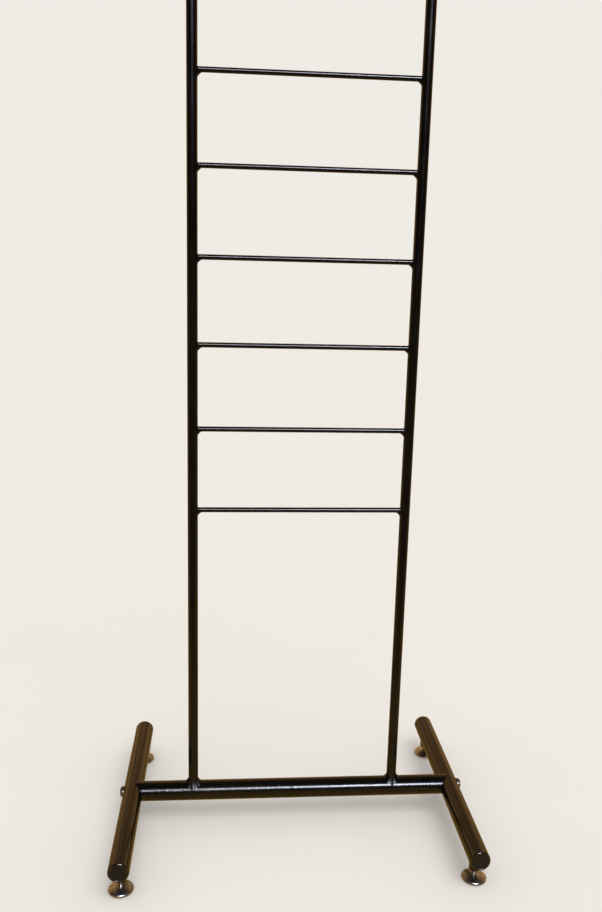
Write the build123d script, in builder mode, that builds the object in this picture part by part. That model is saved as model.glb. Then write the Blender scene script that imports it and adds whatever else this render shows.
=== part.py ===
from build123d import *
import os

# Free-standing display ladder of round steel, in millimetres.
# The origin is on the floor under the middle, +X runs along the rungs to the right,
# +Y to the back and +Z up. Two thin uprights with welded rungs stand on a crossbar,
# and the crossbar is bolted between two foot tubes that stand on levelling feet.

os.makedirs("parts", exist_ok=True)

SIDES = {"left": -1, "right": 1}
ENDS = {"front": -1, "rear": 1}

# Ladder
RACK_HEIGHT = 1800.0
UPRIGHT_SPACING = 400.0  # centre to centre
UPRIGHT_RADIUS = 19.0 / 2
UPRIGHT_WALL = 1.2
RUNG_RADIUS = 9.5 / 2
RUNG_COUNT = 8
RUNG_PITCH = 153.0
LOWEST_RUNG_RISE = 583.0  # from the crossbar's axis to the lowest rung's axis

# Base
BASE_RADIUS = 38.0 / 2
BASE_WALL = 1.5
BASE_HEIGHT = 57.5  # floor to the axis of the crossbar and the foot tubes
CROSSBAR_CLEAR_LENGTH = 600.0  # between the inner faces of the foot tubes
CROSSBAR_HORN = 15.0  # how far the saddled ends reach over the foot tubes
FOOT_LENGTH = 480.0  # over the end plugs

# Plastic plugs in the open tube ends
PLUG_FLANGE = 3.0
PLUG_SHANK = 12.0
PLUG_SHANK_WALL = 2.0
PLUG_PLAY = 0.1
PLUG_ROUNDING_SHARE = 0.13  # of the tube's radius
PLUG_RIM_SHARE = 0.20  # raised rim round the sunken middle, of the tube's radius
PLUG_RECESS = 0.6

# Bolts through the foot tubes into threaded plates inside the crossbar
SCREW_RADIUS = 8.0 / 2
SCREW_PLAY = 0.05
SCREW_HOLE_RADIUS = 9.0 / 2
BOLT_HEAD_RADIUS = 10.0
BOLT_HEAD_HEIGHT = 5.5
BOLT_SOCKET_RADIUS = 5.0 / 2
BOLT_SOCKET_DEPTH = 2.5
BOLT_LENGTH = 58.0
WASHER_RADIUS = 10.5
WASHER_THICKNESS = 1.5
PLATE_THICKNESS = 8.0
PLATE_INSET = 8.0  # from the bottom of the saddle to the plate

# Levelling feet
LEVELLER_INSET = 32.0  # from the end of the foot to the screw's axis
BOSS_RADIUS = 10.0
BOSS_BOTTOM = 19.5
STUD_TOP = 33.0
STUD_COLLAR_RADIUS = 6.6
STUD_COLLAR_THICKNESS = 2.5
STUD_TIP_CHAMFER = 1.0
MOVING_GAP = 0.3
CUP_RADIUS = 22.5
CUP_SHEET = 1.5
CUP_TOP = 9.0
CUP_RIM_BOTTOM = 1.5
CUP_HUB_RADIUS = 7.0
PAD_EDGE_CHAMFER = 0.6

# Welds
UPRIGHT_WELD_LEG = 6.0
UPRIGHT_WELD_CHAMFER = 3.5
RUNG_WELD_LEG = 7.0
RUNG_WELD_HALF_WIDTH = 3.0

crossbar_half = CROSSBAR_CLEAR_LENGTH / 2
foot_x = crossbar_half + BASE_RADIUS
upright_x = UPRIGHT_SPACING / 2
leveller_y = FOOT_LENGTH / 2 - LEVELLER_INSET
foot_tube_half = FOOT_LENGTH / 2 - PLUG_FLANGE
rung_heights = [BASE_HEIGHT + LOWEST_RUNG_RISE + i * RUNG_PITCH for i in range(RUNG_COUNT)]


def save(piece, name):
    piece.part.label = name
    export_step(piece.part, f"parts/{name}.step")


# Uprights: thin tubes, saddled over the crossbar at the bottom, open at the top
upright_top = RACK_HEIGHT - PLUG_FLANGE
for side, sign in SIDES.items():
    with BuildPart() as upright:
        with BuildSketch(Plane.XY.offset(BASE_HEIGHT)):
            with Locations((sign * upright_x, 0)):
                Circle(UPRIGHT_RADIUS)
                Circle(UPRIGHT_RADIUS - UPRIGHT_WALL, mode=Mode.SUBTRACT)
        extrude(amount=upright_top - BASE_HEIGHT)
        with BuildSketch(Plane.YZ.offset(sign * upright_x)):
            with Locations((0, BASE_HEIGHT)):
                Circle(BASE_RADIUS)
        extrude(amount=BASE_RADIUS, both=True, mode=Mode.SUBTRACT)
    save(upright, f"upright_{side}")

# Rungs: solid rods, their ends saddled against the uprights
for number, height in enumerate(rung_heights, start=1):
    with BuildPart() as rung:
        with BuildSketch(Plane.YZ):
            with Locations((0, height)):
                Circle(RUNG_RADIUS)
        extrude(amount=upright_x, both=True)
        with BuildSketch(Plane.XY.offset(height)):
            with Locations((-upright_x, 0), (upright_x, 0)):
                Circle(UPRIGHT_RADIUS)
        extrude(amount=2 * RUNG_RADIUS, both=True, mode=Mode.SUBTRACT)
    save(rung, f"rung_{number}")

# Rung welds: a fillet under each rung end, none on top
for side, sign in SIDES.items():
    face_x = sign * (upright_x - UPRIGHT_RADIUS)
    root_x = sign * upright_x
    toe_x = face_x - sign * RUNG_WELD_LEG
    with BuildPart() as rung_welds:
        for height in rung_heights:
            under_rung = height - RUNG_RADIUS
            with BuildSketch(Plane.XZ):
                with BuildLine():
                    Polyline(
                        (root_x, height),
                        (face_x, height),
                        (toe_x, under_rung),
                        (face_x, under_rung - RUNG_WELD_LEG),
                        (root_x, under_rung - RUNG_WELD_LEG),
                        close=True,
                    )
                make_face()
            extrude(amount=RUNG_WELD_HALF_WIDTH, both=True)
            with BuildSketch(Plane.YZ):
                with Locations((0, height)):
                    Circle(RUNG_RADIUS)
            extrude(amount=upright_x, both=True, mode=Mode.SUBTRACT)
        with BuildSketch(Plane.XY.offset(BASE_HEIGHT)):
            with Locations((root_x, 0)):
                Circle(UPRIGHT_RADIUS)
        extrude(amount=RACK_HEIGHT, mode=Mode.SUBTRACT)
    save(rung_welds, f"rung_welds_{side}")

# Crossbar: one tube, both ends saddled against the foot tubes
with BuildPart() as crossbar:
    with BuildSketch(Plane.YZ):
        with Locations((0, BASE_HEIGHT)):
            Circle(BASE_RADIUS)
            Circle(BASE_RADIUS - BASE_WALL, mode=Mode.SUBTRACT)
    extrude(amount=crossbar_half + CROSSBAR_HORN, both=True)
    with BuildSketch(Plane.XZ):
        with Locations((-foot_x, BASE_HEIGHT), (foot_x, BASE_HEIGHT)):
            Circle(BASE_RADIUS)
    extrude(amount=2 * BASE_RADIUS, both=True, mode=Mode.SUBTRACT)
save(crossbar, "crossbar")

# Upright welds: a ring of weld round the foot of each upright, lying on the crossbar
for side, sign in SIDES.items():
    with BuildPart() as upright_weld:
        with BuildSketch(Plane.XY.offset(BASE_HEIGHT)):
            with Locations((sign * upright_x, 0)):
                Circle(UPRIGHT_RADIUS + UPRIGHT_WELD_LEG)
        extrude(amount=2 * BASE_RADIUS)
        with BuildSketch(Plane.YZ):
            with Locations((0, BASE_HEIGHT)):
                Circle(BASE_RADIUS + UPRIGHT_WELD_LEG)
        extrude(amount=UPRIGHT_SPACING, both=True, mode=Mode.INTERSECT)
        weld_top = upright_weld.faces().sort_by(Axis.Z)[-1]
        chamfer(weld_top.edges(), length=UPRIGHT_WELD_CHAMFER)
        with BuildSketch(Plane.YZ):
            with Locations((0, BASE_HEIGHT)):
                Circle(BASE_RADIUS)
        extrude(amount=UPRIGHT_SPACING, both=True, mode=Mode.SUBTRACT)
        with BuildSketch(Plane.XY.offset(BASE_HEIGHT)):
            with Locations((sign * upright_x, 0)):
                Circle(UPRIGHT_RADIUS)
        extrude(amount=2 * BASE_RADIUS, mode=Mode.SUBTRACT)
    save(upright_weld, f"upright_weld_{side}")

# Threaded plates: thick discs welded inside the crossbar's ends, for the base bolts
for side, sign in SIDES.items():
    plate_middle = sign * (crossbar_half - PLATE_INSET - PLATE_THICKNESS / 2)
    with BuildPart() as threaded_plate:
        with BuildSketch(Plane.YZ.offset(plate_middle)):
            with Locations((0, BASE_HEIGHT)):
                Circle(BASE_RADIUS - BASE_WALL)
                Circle(SCREW_RADIUS, mode=Mode.SUBTRACT)
        extrude(amount=PLATE_THICKNESS / 2, both=True)
    save(threaded_plate, f"crossbar_threaded_plate_{side}")

# Foot tubes: drilled across for the base bolt and from below for the levelling screws
for side, sign in SIDES.items():
    with BuildPart() as foot_tube:
        with BuildSketch(Plane.XZ):
            with Locations((sign * foot_x, BASE_HEIGHT)):
                Circle(BASE_RADIUS)
                Circle(BASE_RADIUS - BASE_WALL, mode=Mode.SUBTRACT)
        extrude(amount=foot_tube_half, both=True)
        with BuildSketch(Plane.YZ.offset(sign * foot_x)):
            with Locations((0, BASE_HEIGHT)):
                Circle(SCREW_HOLE_RADIUS)
        extrude(amount=2 * BASE_RADIUS, both=True, mode=Mode.SUBTRACT)
        with BuildSketch(Plane.XY.offset(BASE_HEIGHT)):
            with Locations((sign * foot_x, -leveller_y), (sign * foot_x, leveller_y)):
                Circle(SCREW_HOLE_RADIUS)
        extrude(amount=-2 * BASE_RADIUS, mode=Mode.SUBTRACT)
    save(foot_tube, f"foot_tube_{side}")


def tube_plug(tube_end, tube_radius, tube_wall):
    """A moulded plug: a round-edged flange with a sunken face on the tube's end, and a hollow shank.
    The plane tube_end lies on the tube's end and faces outwards."""
    shank_radius = tube_radius - tube_wall - PLUG_PLAY
    with BuildPart() as plug:
        with BuildSketch(tube_end):
            Circle(tube_radius)
        extrude(amount=PLUG_FLANGE)
        outwards = Axis(tube_end.origin, tube_end.z_dir)
        outer_edge = plug.edges().filter_by(GeomType.CIRCLE).sort_by(outwards)[-1]
        fillet(outer_edge, PLUG_ROUNDING_SHARE * tube_radius)
        with BuildSketch(tube_end.offset(PLUG_FLANGE)):
            Circle((1 - PLUG_RIM_SHARE) * tube_radius)
        extrude(amount=-PLUG_RECESS, mode=Mode.SUBTRACT)
        with BuildSketch(tube_end):
            Circle(shank_radius)
            Circle(shank_radius - PLUG_SHANK_WALL, mode=Mode.SUBTRACT)
        extrude(amount=-PLUG_SHANK)
    return plug


# Foot plugs close the four ends of the foot tubes
for side, sign in SIDES.items():
    for end, direction in ENDS.items():
        end_plane = Plane(
            origin=(sign * foot_x, direction * foot_tube_half, BASE_HEIGHT),
            x_dir=(1, 0, 0),
            z_dir=(0, direction, 0),
        )
        save(tube_plug(end_plane, BASE_RADIUS, BASE_WALL), f"foot_plug_{end}_{side}")

# Upright plugs close the tops of the uprights
for side, sign in SIDES.items():
    end_plane = Plane(origin=(sign * upright_x, 0, upright_top))
    save(tube_plug(end_plane, UPRIGHT_RADIUS, UPRIGHT_WALL), f"upright_plug_{side}")

# Saddle washers: flat under the bolt head, hollowed to the foot tube behind it
seat_x = foot_x + BASE_RADIUS + WASHER_THICKNESS
for side, sign in SIDES.items():
    with BuildPart() as washer:
        with BuildSketch(Plane.YZ.offset(sign * foot_x)):
            with Locations((0, BASE_HEIGHT)):
                Circle(WASHER_RADIUS)
                Circle(SCREW_HOLE_RADIUS, mode=Mode.SUBTRACT)
        extrude(amount=sign * (seat_x - foot_x))
        with BuildSketch(Plane.XZ):
            with Locations((sign * foot_x, BASE_HEIGHT)):
                Circle(BASE_RADIUS)
        extrude(amount=2 * BASE_RADIUS, both=True, mode=Mode.SUBTRACT)
    save(washer, f"saddle_washer_{side}")

# Base bolts: domed heads with a hexagon socket, shanks through the foot tubes into the plates
for side, sign in SIDES.items():
    seat = sign * seat_x
    head_tip = sign * (seat_x + BOLT_HEAD_HEIGHT)
    shank_tip = sign * (seat_x - BOLT_LENGTH)
    shank_edge = BASE_HEIGHT + SCREW_RADIUS - SCREW_PLAY
    head_edge = BASE_HEIGHT + BOLT_HEAD_RADIUS
    with BuildPart() as base_bolt:
        with BuildSketch(Plane.XZ):
            with BuildLine():
                Polyline(
                    (head_tip, BASE_HEIGHT),
                    (shank_tip, BASE_HEIGHT),
                    (shank_tip, shank_edge),
                    (seat, shank_edge),
                    (seat, head_edge),
                )
                TangentArc((head_tip, BASE_HEIGHT), (seat, head_edge), tangent=(0, 1))
            make_face()
        revolve(axis=Axis((0, 0, BASE_HEIGHT), (1, 0, 0)))
        with BuildSketch(Plane.YZ.offset(head_tip)):
            with Locations((0, BASE_HEIGHT)):
                RegularPolygon(BOLT_SOCKET_RADIUS, 6, major_radius=False)
        extrude(amount=-sign * BOLT_SOCKET_DEPTH, mode=Mode.SUBTRACT)
    save(base_bolt, f"base_bolt_{side}")

# Levelling feet: a threaded boss under the tube, and a stud that turns in a domed cup with a pad
collar_top = CUP_TOP - CUP_SHEET - MOVING_GAP
collar_bottom = collar_top - STUD_COLLAR_THICKNESS
recess_radius = STUD_COLLAR_RADIUS + MOVING_GAP
pad_radius = CUP_RADIUS - CUP_SHEET
shoulder_z = CUP_RIM_BOTTOM + 2 * CUP_SHEET  # where the cup's outside turns from rim to dome
for side, sign in SIDES.items():
    for end, direction in ENDS.items():
        x = sign * foot_x
        y = direction * leveller_y
        name = f"{end}_{side}"

        with BuildPart() as boss:
            with BuildSketch(Plane.XY.offset(BOSS_BOTTOM)):
                with Locations((x, y)):
                    Circle(BOSS_RADIUS)
                    Circle(SCREW_RADIUS, mode=Mode.SUBTRACT)
            extrude(amount=BASE_HEIGHT - BOSS_BOTTOM)
            with BuildSketch(Plane.XZ.offset(-y)):
                with Locations((x, BASE_HEIGHT)):
                    Circle(BASE_RADIUS)
            extrude(amount=2 * BOSS_RADIUS, both=True, mode=Mode.SUBTRACT)
        save(boss, f"leveller_boss_{name}")

        with BuildPart() as stud:
            with BuildSketch(Plane.XY.offset(collar_bottom)):
                with Locations((x, y)):
                    Circle(SCREW_RADIUS - SCREW_PLAY)
            extrude(amount=STUD_TOP - collar_bottom)
            chamfer(stud.edges().sort_by(Axis.Z)[-1], length=STUD_TIP_CHAMFER)
            with BuildSketch(Plane.XY.offset(collar_bottom)):
                with Locations((x, y)):
                    Circle(STUD_COLLAR_RADIUS)
            extrude(amount=STUD_COLLAR_THICKNESS)
        save(stud, f"leveller_stud_{name}")

        turning_axis = Axis((x, y, 0), (0, 0, 1))
        axis_plane = Plane(origin=(x, y, 0), x_dir=(1, 0, 0), z_dir=(0, -1, 0))
        with BuildPart() as cup:
            with BuildSketch(axis_plane):
                with BuildLine():
                    Polyline(
                        (pad_radius, CUP_RIM_BOTTOM),
                        (CUP_RADIUS, CUP_RIM_BOTTOM),
                        (CUP_RADIUS, shoulder_z - CUP_SHEET),
                        (pad_radius, shoulder_z),
                        (CUP_HUB_RADIUS, CUP_TOP),
                        (SCREW_RADIUS, CUP_TOP),
                        (SCREW_RADIUS, CUP_TOP - CUP_SHEET),
                        (recess_radius, CUP_TOP - CUP_SHEET),
                        (pad_radius - PAD_EDGE_CHAMFER, shoulder_z - CUP_SHEET),
                        (pad_radius, shoulder_z - CUP_SHEET - PAD_EDGE_CHAMFER),
                        close=True,
                    )
                make_face()
            revolve(axis=turning_axis)
        save(cup, f"leveller_cup_{name}")

        with BuildPart() as pad:
            with BuildSketch(axis_plane):
                with BuildLine():
                    Polyline(
                        (0, 0),
                        (pad_radius - PAD_EDGE_CHAMFER, 0),
                        (pad_radius, PAD_EDGE_CHAMFER),
                        (pad_radius, shoulder_z - CUP_SHEET - PAD_EDGE_CHAMFER),
                        (pad_radius - PAD_EDGE_CHAMFER, shoulder_z - CUP_SHEET),
                        (recess_radius, CUP_TOP - CUP_SHEET),
                        (recess_radius, collar_bottom - MOVING_GAP),
                        (0, collar_bottom - MOVING_GAP),
                        close=True,
                    )
                make_face()
            revolve(axis=turning_axis)
        save(pad, f"leveller_pad_{name}")
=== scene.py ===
import math
import bpy
import bmesh
from mathutils import Euler, Matrix, Vector


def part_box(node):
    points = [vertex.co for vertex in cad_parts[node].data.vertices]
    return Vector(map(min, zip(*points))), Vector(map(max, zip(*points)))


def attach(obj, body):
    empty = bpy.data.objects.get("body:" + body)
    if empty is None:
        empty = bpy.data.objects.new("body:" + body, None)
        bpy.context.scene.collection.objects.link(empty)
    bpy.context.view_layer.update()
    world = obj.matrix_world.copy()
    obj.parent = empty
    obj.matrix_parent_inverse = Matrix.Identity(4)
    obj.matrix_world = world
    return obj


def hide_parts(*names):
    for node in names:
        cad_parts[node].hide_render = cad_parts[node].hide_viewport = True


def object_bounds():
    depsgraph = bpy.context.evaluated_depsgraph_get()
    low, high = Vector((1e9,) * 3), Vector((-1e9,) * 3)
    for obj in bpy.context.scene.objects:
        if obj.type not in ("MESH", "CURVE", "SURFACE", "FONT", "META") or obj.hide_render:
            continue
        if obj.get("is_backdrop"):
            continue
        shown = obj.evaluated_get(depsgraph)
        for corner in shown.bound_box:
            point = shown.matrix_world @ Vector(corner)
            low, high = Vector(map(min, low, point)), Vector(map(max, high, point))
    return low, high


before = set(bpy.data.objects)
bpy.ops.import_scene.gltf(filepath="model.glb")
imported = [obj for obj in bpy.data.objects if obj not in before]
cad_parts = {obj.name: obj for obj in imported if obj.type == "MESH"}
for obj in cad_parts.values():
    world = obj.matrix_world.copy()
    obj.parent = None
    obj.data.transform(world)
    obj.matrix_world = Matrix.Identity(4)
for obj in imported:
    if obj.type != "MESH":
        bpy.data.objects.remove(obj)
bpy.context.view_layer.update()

MM = 0.001
SIDES = ("left", "right")
ENDS = ("front", "rear")


# ---- Uprights ----------------------------------------------------------------------------------
# Two thin-walled 19 mm steel tubes, sawn to length. Each is notched at the bottom to sit over the
# crossbar and welded there. The welded ladder is then powder coated gloss black as one piece.

def linear(text, alpha=1.0):
    """The linear colour of an sRGB hex value such as #1A1713."""
    parts = [int(text[i:i + 2], 16) / 255 for i in (1, 3, 5)]
    return tuple(c / 12.92 if c <= 0.04045 else ((c + 0.055) / 1.055) ** 2.4 for c in parts) + (alpha,)


def add(tree, kind, inputs=None, **settings):
    """One node with its settings. An input that is given a socket is linked, and any other is set."""
    node = tree.nodes.new(kind)
    for name, value in settings.items():
        setattr(node, name, value)
    for name, value in (inputs or {}).items():
        if isinstance(value, bpy.types.NodeSocket):
            tree.links.new(value, node.inputs[name])
        else:
            node.inputs[name].default_value = value
    return node


def new_material(name):
    """An empty node material and its tree."""
    material = bpy.data.materials.new(name)
    material.use_nodes = True
    material.node_tree.nodes.clear()
    return material, material.node_tree


def gloss_black_powder_coat(
        name, peel_height, speck_pitch=1.1 * MM, nib_share=0.12, calm=0.25, heavy_from=None, heavy_to=None):
    """Gloss black polyester powder, baked on steel. It flows out to a wet-looking skin with an orange
    peel that is heavier in patches, so that highlights break up there, and a haze of handling marks.
    speck_pitch is between dust nibs and fine scuffs, drawn coarser than real, and nib_share is the height
    of the nibs as a share of the peel's. calm is how much of the peel is left in the smooth patches. With
    heavy_from and heavy_to, the peel eases off between those two places along the object."""
    peel_pitch = 3.2 * MM   # real peel is 1 to 3 mm across, drawn at its coarse end so that it shows
    haze_pitch = 70 * MM    # hand marks and wiping
    material, tree = new_material(name)
    place = add(tree, "ShaderNodeTexCoord").outputs["Object"]
    peel = add(tree, "ShaderNodeTexNoise", {"Vector": place, "Scale": 1 / peel_pitch, "Detail": 1.5})
    specks = add(tree, "ShaderNodeTexNoise", {"Vector": place, "Scale": 1 / speck_pitch, "Detail": 2.0})
    haze = add(tree, "ShaderNodeTexNoise", {"Vector": place, "Scale": 1 / haze_pitch, "Detail": 4.0})
    colour = add(tree, "ShaderNodeValToRGB", {"Fac": haze.outputs["Fac"]})
    colour.color_ramp.elements[0].position = 0.30
    colour.color_ramp.elements[0].color = linear("#080705")
    colour.color_ramp.elements[1].position = 0.75
    colour.color_ramp.elements[1].color = linear("#100D09")
    scuff = add(tree, "ShaderNodeMapRange", {
        "Value": specks.outputs["Fac"], "From Min": 0.60, "From Max": 0.78, "To Min": 0.0, "To Max": 0.16})
    rough = add(tree, "ShaderNodeMapRange", {
        "Value": haze.outputs["Fac"], "From Min": 0.3, "From Max": 0.7, "To Min": 0.13, "To Max": 0.23})
    patches = add(tree, "ShaderNodeMapRange", {
        "Value": haze.outputs["Fac"], "From Min": 0.40, "From Max": 0.62, "To Min": 1.0, "To Max": calm})
    strength = patches.outputs["Result"]
    if heavy_from is not None:
        along = add(tree, "ShaderNodeSeparateXYZ", {"Vector": place})
        easing = add(tree, "ShaderNodeMapRange", {
            "Value": along.outputs["X"], "From Min": heavy_from, "From Max": heavy_to, "To Min": 1.0,
            "To Max": 0.3})
        eased = add(tree, "ShaderNodeMath", operation="MULTIPLY")
        tree.links.new(strength, eased.inputs[0])
        tree.links.new(easing.outputs["Result"], eased.inputs[1])
        strength = eased.outputs["Value"]
    rough_sum = add(tree, "ShaderNodeMath", operation="ADD")
    tree.links.new(scuff.outputs["Result"], rough_sum.inputs[0])
    tree.links.new(rough.outputs["Result"], rough_sum.inputs[1])
    bump = add(tree, "ShaderNodeBump", {
        "Height": peel.outputs["Fac"], "Strength": strength, "Distance": peel_height})
    nibs = add(tree, "ShaderNodeBump", {
        "Height": specks.outputs["Fac"], "Strength": strength, "Distance": peel_height * nib_share,
        "Normal": bump.outputs["Normal"]})
    skin_shader = add(tree, "ShaderNodeBsdfPrincipled", {
        "Base Color": colour.outputs["Color"], "Roughness": rough_sum.outputs["Value"],
        "IOR": 1.50, "Normal": nibs.outputs["Normal"]})
    add(tree, "ShaderNodeOutputMaterial", {"Surface": skin_shader.outputs["BSDF"]})
    return material


CREASE = math.radians(38)  # a sharper edge than this stays crisp


def skin(name, *shells):
    """A mesh of closed shells. A shell is a row of rings, each a list of points going once round; the
    last ring joins the first, except that a shell whose end rings are single points is closed there."""
    verts, faces = [], []
    for rings in shells:
        starts = []
        for ring in rings:
            starts.append(len(verts))
            verts.extend(ring)
        pairs = list(zip(range(len(rings)), range(1, len(rings))))
        if len(rings[0]) > 1:
            pairs.append((len(rings) - 1, 0))
        for a, b in pairs:
            count = max(len(rings[a]), len(rings[b]))
            for i in range(count):
                j = (i + 1) % count
                low = (starts[a] + i, starts[a] + j) if len(rings[a]) > 1 else (starts[a],)
                top = (starts[b] + j, starts[b] + i) if len(rings[b]) > 1 else (starts[b],)
                faces.append(low + top)
    mesh = bpy.data.meshes.new(name)
    mesh.from_pydata([tuple(v) for v in verts], [], faces)
    work = bmesh.new()
    work.from_mesh(mesh)
    bmesh.ops.recalc_face_normals(work, faces=work.faces)
    work.to_mesh(mesh)
    work.free()
    mesh.shade_smooth()
    mesh.set_sharp_from_angle(angle=CREASE)
    piece = bpy.data.objects.new(name, mesh)
    bpy.context.scene.collection.objects.link(piece)
    return piece


def settle(piece, material, body, slot, *nodes):
    """Finishes a piece: its material, the body that it rides on and the CAD nodes that it stands for, which
    are hidden. The slot argument is not used."""
    piece.data.materials.append(material)
    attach(piece, body)
    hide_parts(*nodes)


def middle(node):
    """The middle of a CAD node's box."""
    low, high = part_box(node)
    return (low + high) / 2


def size(node):
    """The size of a CAD node's box."""
    low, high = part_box(node)
    return high - low


def turn(i, count):
    """The angle of step i of count round a full turn."""
    return 2 * math.pi * i / count


SAW_EDGE = 0.3 * MM  # the filed edge at a sawn tube end, filled by the coating
bar_radius = size("crossbar").y / 2
bar_height = middle("crossbar").z
upright_radius = size("upright_left").x / 2
upright_x = middle("upright_right").x
tube_paint = gloss_black_powder_coat("gloss_black_powder_coat", peel_height=0.14 * MM)


def saddle(across, radius):
    """How high a round bar of that radius stands above its axis, at a distance across from the axis."""
    return math.sqrt(max(radius ** 2 - across ** 2, 0.0))


UPRIGHT_WALL = 1.2 * MM
UPRIGHT_STEPS = 72
NOTCH_CLEARANCE = 2 * MM  # from the notch up to the first level ring
TUBE_SPANS = 12
for side in SIDES:
    node = f"upright_{side}"
    x = middle(node).x
    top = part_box(node)[1].z

    def upright_ring(radius, height):
        """A ring round the upright; height None is the notched foot."""
        points = []
        for i in range(UPRIGHT_STEPS):
            a = turn(i, UPRIGHT_STEPS)
            dx, dy = radius * math.cos(a), radius * math.sin(a)
            z = bar_height + saddle(dy, bar_radius) if height is None else height
            points.append(Vector((x + dx, dy, z)))
        return points

    foot_level = bar_height + bar_radius + NOTCH_CLEARANCE
    levels = [foot_level + (top - SAW_EDGE - foot_level) * k / TUBE_SPANS for k in range(TUBE_SPANS + 1)]
    bore = upright_radius - UPRIGHT_WALL
    rings = [upright_ring(upright_radius, None)]
    rings += [upright_ring(upright_radius, z) for z in levels]
    rings += [upright_ring(upright_radius - SAW_EDGE, top), upright_ring(bore, top)]
    rings += [upright_ring(bore, z) for z in reversed(levels)]
    rings.append(upright_ring(bore, None))
    settle(skin(f"{node}_tube", rings), tube_paint, "frame", "black_enamel", node)


# ---- Rungs -------------------------------------------------------------------------------------
# Eight solid rods of cold-drawn 9.5 mm steel, notched at both ends against the uprights and welded
# between them at one pitch. They take the same coat as the uprights.

RUNG_STEPS = 48
RUNG_SPANS = 8        # on each side of the middle
RUNG_BITE = 0.4 * MM  # how far the melted rod end sinks into the tube
rung_nodes = sorted((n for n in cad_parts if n.startswith("rung_") and "weld" not in n))
rung_radius = size(rung_nodes[0]).y / 2


def upright_face(across):
    """How far from the middle plane the inner face of an upright is, at a distance across from its axis."""
    return upright_x - saddle(across, upright_radius)


for node in rung_nodes:
    height = middle(node).z

    def rung_ring(share):
        """A ring round the rung, at a share of the way from the middle to the upright."""
        points = []
        for i in range(RUNG_STEPS):
            a = turn(i, RUNG_STEPS)
            y, z = rung_radius * math.cos(a), height + rung_radius * math.sin(a)
            reach = upright_face(y) + RUNG_BITE
            points.append(Vector((share * reach, y, z)))
        return points

    end = upright_x - upright_radius + RUNG_BITE
    shares = [k / RUNG_SPANS for k in range(-RUNG_SPANS, RUNG_SPANS + 1)]
    rings = [[Vector((-end, 0, height))]]
    rings += [rung_ring(share) for share in shares]
    rings.append([Vector((end, 0, height))])
    settle(skin(f"{node}_rod", rings), tube_paint, "frame", "black_enamel", node)


# ---- Rung welds --------------------------------------------------------------------------------
# A short bead laid from below under each rung end, drawn round the joint until it thins out on top.
# The coating has rounded its ripples, and it shows as a hollow fillet with a few bright glints.

WELD_STEPS = 72
WELD_CURVE = 7
FULL_LEG = 7.0 * MM
THIN_LEG = 0.9 * MM
WELD_HOLLOW = 0.34    # 0.5 is a flat bead, and less is hollow
WELD_GATHER = 1.6     # the higher, the more of the bead is on the underside
WELD_RIPPLES = 11
RIPPLE_DEPTH = 0.03   # of the leg
SLOW_SWELL = 0.02     # of the leg, twice round the bead
UPRIGHT_FLANK = 0.95  # of the upright's radius, as far round as a bead reaches
PHASE_STEP = 1.7      # radians from one rung to the next, so that no two beads match
weld_paint = gloss_black_powder_coat("gloss_black_powder_coat_on_weld", peel_height=0.06 * MM)


def bend(first, root, last, count=WELD_CURVE):
    """Points on a quadratic curve from first to last, pulled towards root."""
    points = []
    for k in range(count):
        t = k / (count - 1)
        points.append(first * (1 - t) ** 2 + root * (2 * t * (1 - t)) + last * t ** 2)
    return points


def ripple(angle, phase, depth=RIPPLE_DEPTH):
    """The small swelling and thinning of a hand-laid bead along its length."""
    return 1 + depth * math.sin(WELD_RIPPLES * angle + phase) + SLOW_SWELL * math.sin(2 * angle + phase)


def rung_bead(sign, height, phase):
    """One bead round a rung's end: a row of closed sections."""
    sections = []
    for i in range(WELD_STEPS):
        a = turn(i, WELD_STEPS)  # 0 is straight down
        below = ((1 + math.cos(a)) / 2) ** WELD_GATHER
        leg = (THIN_LEG + (FULL_LEG - THIN_LEG) * below) * ripple(a, phase)

        def point(out_along, out_round):
            """A point that far along the rung from the upright, and that far out from the rung's skin."""
            reach = rung_radius + out_round
            share = reach * math.sin(a) / upright_radius
            y = max(-UPRIGHT_FLANK, min(UPRIGHT_FLANK, share)) * upright_radius
            x = upright_face(y) - out_along
            return Vector((sign * x, y, height - reach * math.cos(a)))

        hollow = WELD_HOLLOW * leg
        section = bend(point(leg, 0), point(hollow, hollow), point(0, leg))
        section.append(point(-RUNG_BITE, -RUNG_BITE))
        sections.append(section)
    return sections


for side, sign in zip(SIDES, (-1, 1)):
    beads = [rung_bead(sign, middle(node).z, PHASE_STEP * k + sign) for k, node in enumerate(rung_nodes)]
    piece = skin(f"rung_weld_beads_{side}", *beads)
    settle(piece, weld_paint, "frame", "black_enamel", f"rung_welds_{side}")


# ---- Crossbar ----------------------------------------------------------------------------------
# One 38 mm tube of 1.5 mm wall, notched at both ends to bear on the foot tubes. It carries the two
# uprights, and it has the widest highlight on the rack, broken up by orange peel and scuffs.

BASE_WALL = 1.5 * MM
BAR_STEPS = 120
BAR_SPANS = 10  # on each side of the middle
foot_x = middle("foot_tube_right").x
horn_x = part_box("crossbar")[1].x


def crossbar_ring(radius, share):
    """A ring round the crossbar, at a share of the way from the middle to its notched end."""
    points = []
    for i in range(BAR_STEPS):
        a = turn(i, BAR_STEPS)
        y, dz = radius * math.sin(a), radius * math.cos(a)
        reach = min(foot_x - saddle(dz, bar_radius), horn_x)
        points.append(Vector((share * reach, y, bar_height + dz)))
    return points


bar_paint = gloss_black_powder_coat(
    "gloss_black_powder_coat_on_base", peel_height=0.34 * MM, speck_pitch=1.9 * MM, nib_share=0.5, calm=0.7,
    heavy_from=-0.15, heavy_to=0.08)
shares = [k / BAR_SPANS for k in range(-BAR_SPANS, BAR_SPANS + 1)]
rings = [crossbar_ring(bar_radius, share) for share in shares]
rings += [crossbar_ring(bar_radius - BASE_WALL, share) for share in reversed(shares)]
settle(skin("crossbar_tube", rings), bar_paint, "frame", "black_enamel", "crossbar")


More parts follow.
